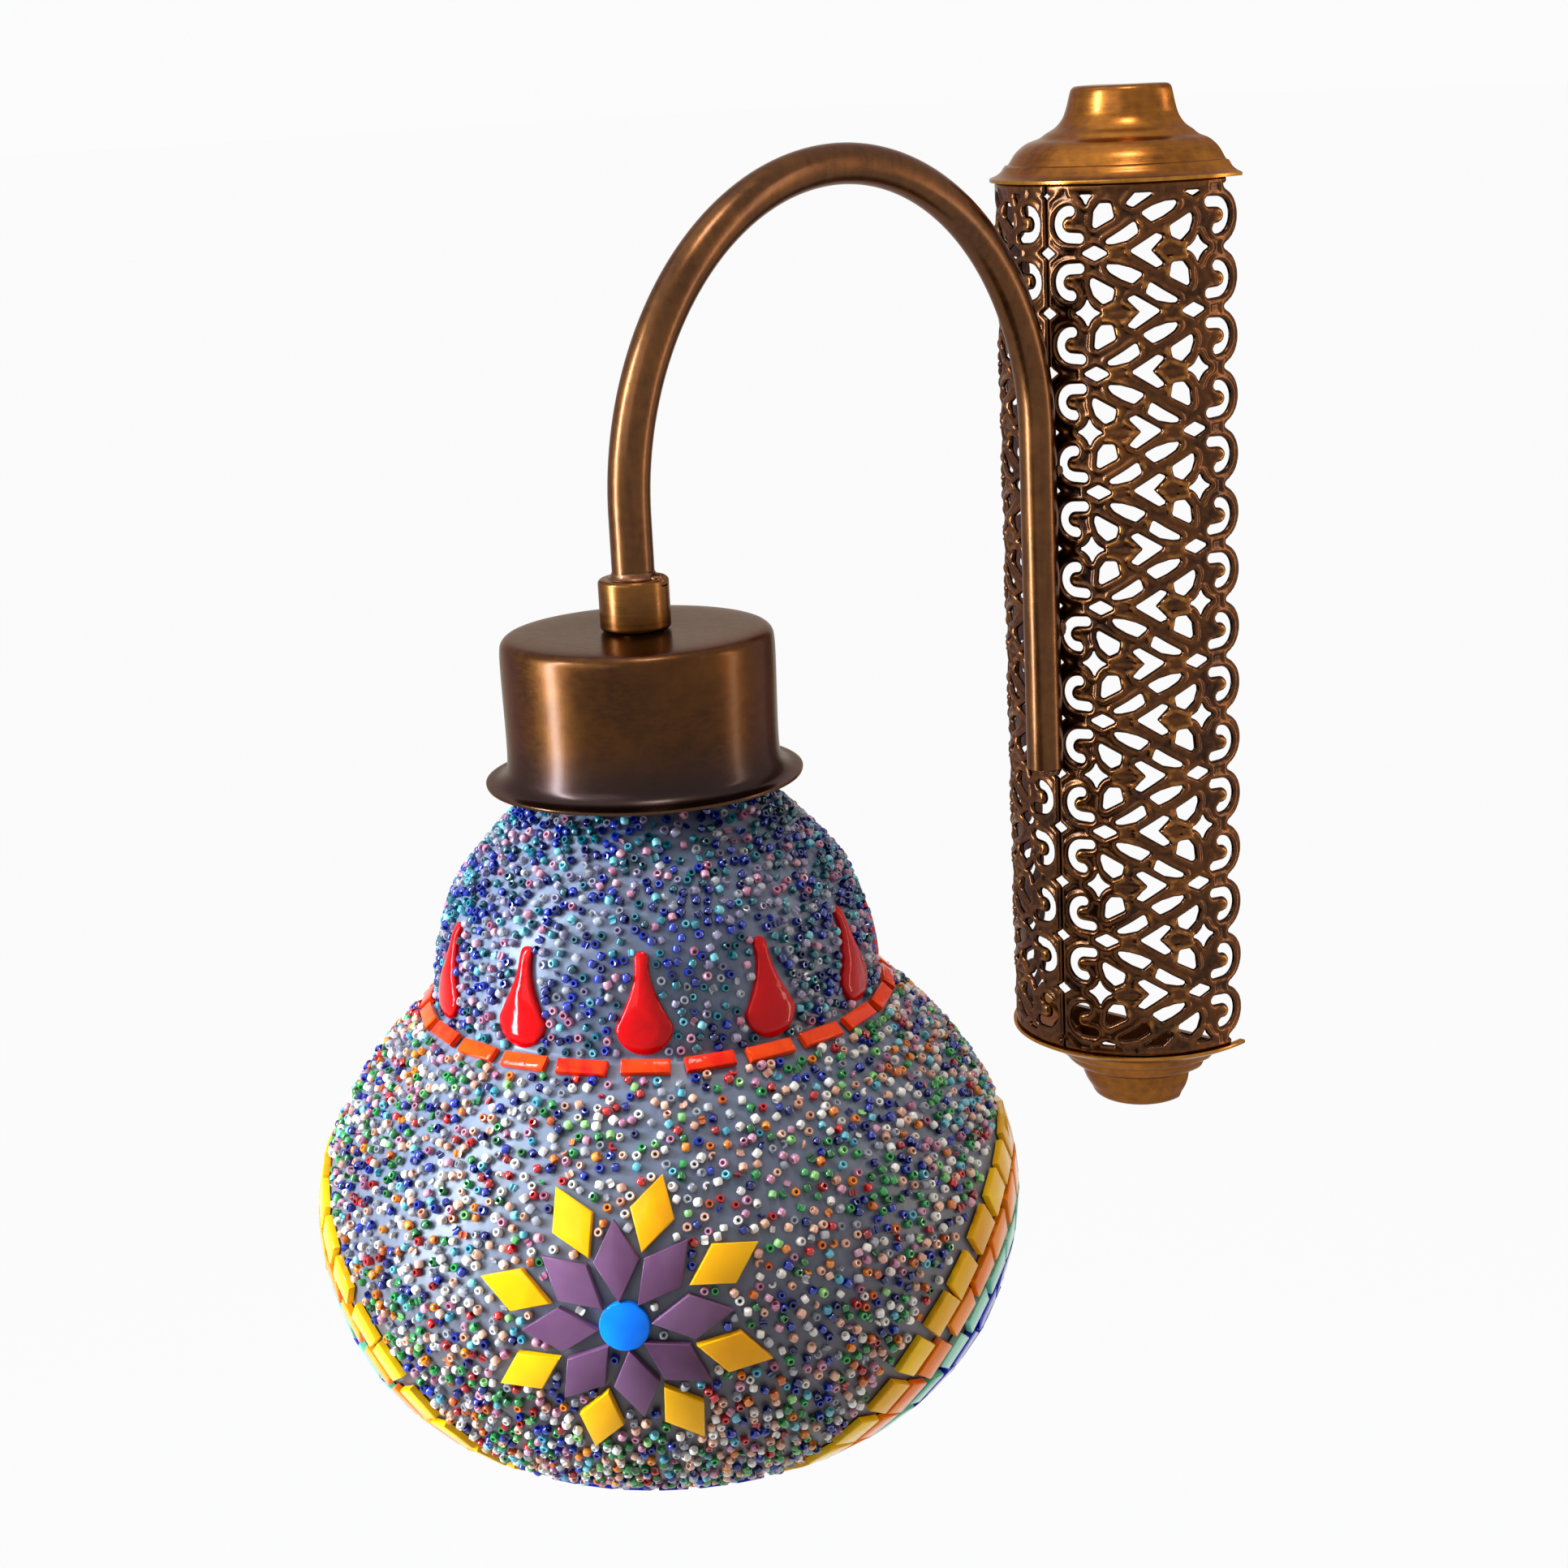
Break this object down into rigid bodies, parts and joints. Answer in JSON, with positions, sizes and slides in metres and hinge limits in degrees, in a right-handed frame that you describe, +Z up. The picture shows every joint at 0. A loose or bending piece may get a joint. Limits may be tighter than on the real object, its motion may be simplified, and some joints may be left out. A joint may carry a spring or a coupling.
{
  "type": "mosaic wall lamp",
  "caption": "Wall lamp with a half-round pierced bracket, a swan-neck arm, a spun cup and a round two-lobed glass globe covered in beads and tiles.",
  "frame": {"origin": "middle of the upper fixing strap's back face, on the wall plane", "axes": "+Z up, +Y into the wall, the lamp hangs towards -Y, +X to the right as seen from the room"},
  "size_m": [0.205, 0.3325, 0.3838],
  "materials": {
    "aged_brass": "spun and antiqued, satin, brown with rubbed golden edges",
    "dark_brass": "antiqued dark brown, worn golden on the high places",
    "bright_brass": "plain turned",
    "spring_steel": "plain",
    "porcelain": "glazed, opaque",
    "frosted_glass": "etched, blue-grey",
    "glass_beads": "glossy glass beads of several colours in clear glue",
    "orange_glass": "glossy",
    "red_glass": "glossy",
    "bulb_glass": "white satin"
  },
  "bodies": {
    "wall_bracket": {"top_cap": "aged_brass", "bottom_cap": "aged_brass", "filigree_band_right": "dark_brass", "filigree_band_left": "dark_brass", "upper_strap": "aged_brass", "lower_strap": "aged_brass", "arm_tube": "dark_brass", "arm_collar": "aged_brass"},
    "shade_carrier": {"fitter_cup": "aged_brass", "threaded_nipple": "bright_brass", "clip_plate": "spring_steel", "lock_nut": "bright_brass", "spring_clip_1": "spring_steel", "spring_clip_2": "spring_steel", "spring_clip_3": "spring_steel", "holder_cap": "aged_brass", "holder_body": "aged_brass", "porcelain_insert": "porcelain", "thread_shell": "bright_brass", "centre_contact": "bright_brass"},
    "globe": {"glass_globe": "frosted_glass", "bead_coat_upper": "glass_beads", "bead_coat_lower": "glass_beads", "tile_band": "orange_glass", "teardrop_tile_01": "red_glass", "teardrop_tile_02": "red_glass", "teardrop_tile_03": "red_glass", "teardrop_tile_04": "red_glass", "teardrop_tile_05": "red_glass", "teardrop_tile_06": "red_glass", "teardrop_tile_07": "red_glass", "teardrop_tile_08": "red_glass", "teardrop_tile_09": "red_glass", "teardrop_tile_10": "red_glass", "teardrop_tile_11": "red_glass"},
    "bulb": {"bulb_glass": "bulb_glass", "bulb_cap": "bright_brass"}
  },
  "joints": [
    {"name": "shade_swivel", "type": "hinge", "parent": "wall_bracket", "child": "shade_carrier", "pos_m": [0, -0.2299, -0.1179], "axis": [0, 0, 1], "range_deg": [-175, 175]},
    {"name": "globe_release", "type": "slide", "parent": "shade_carrier", "child": "globe", "axis": [0, 0, -1], "range_m": [0, 0.12]},
    {"name": "bulb_release", "type": "slide", "parent": "shade_carrier", "child": "bulb", "axis": [0, 0, -1], "range_m": [0, 0.03]}
  ]
}
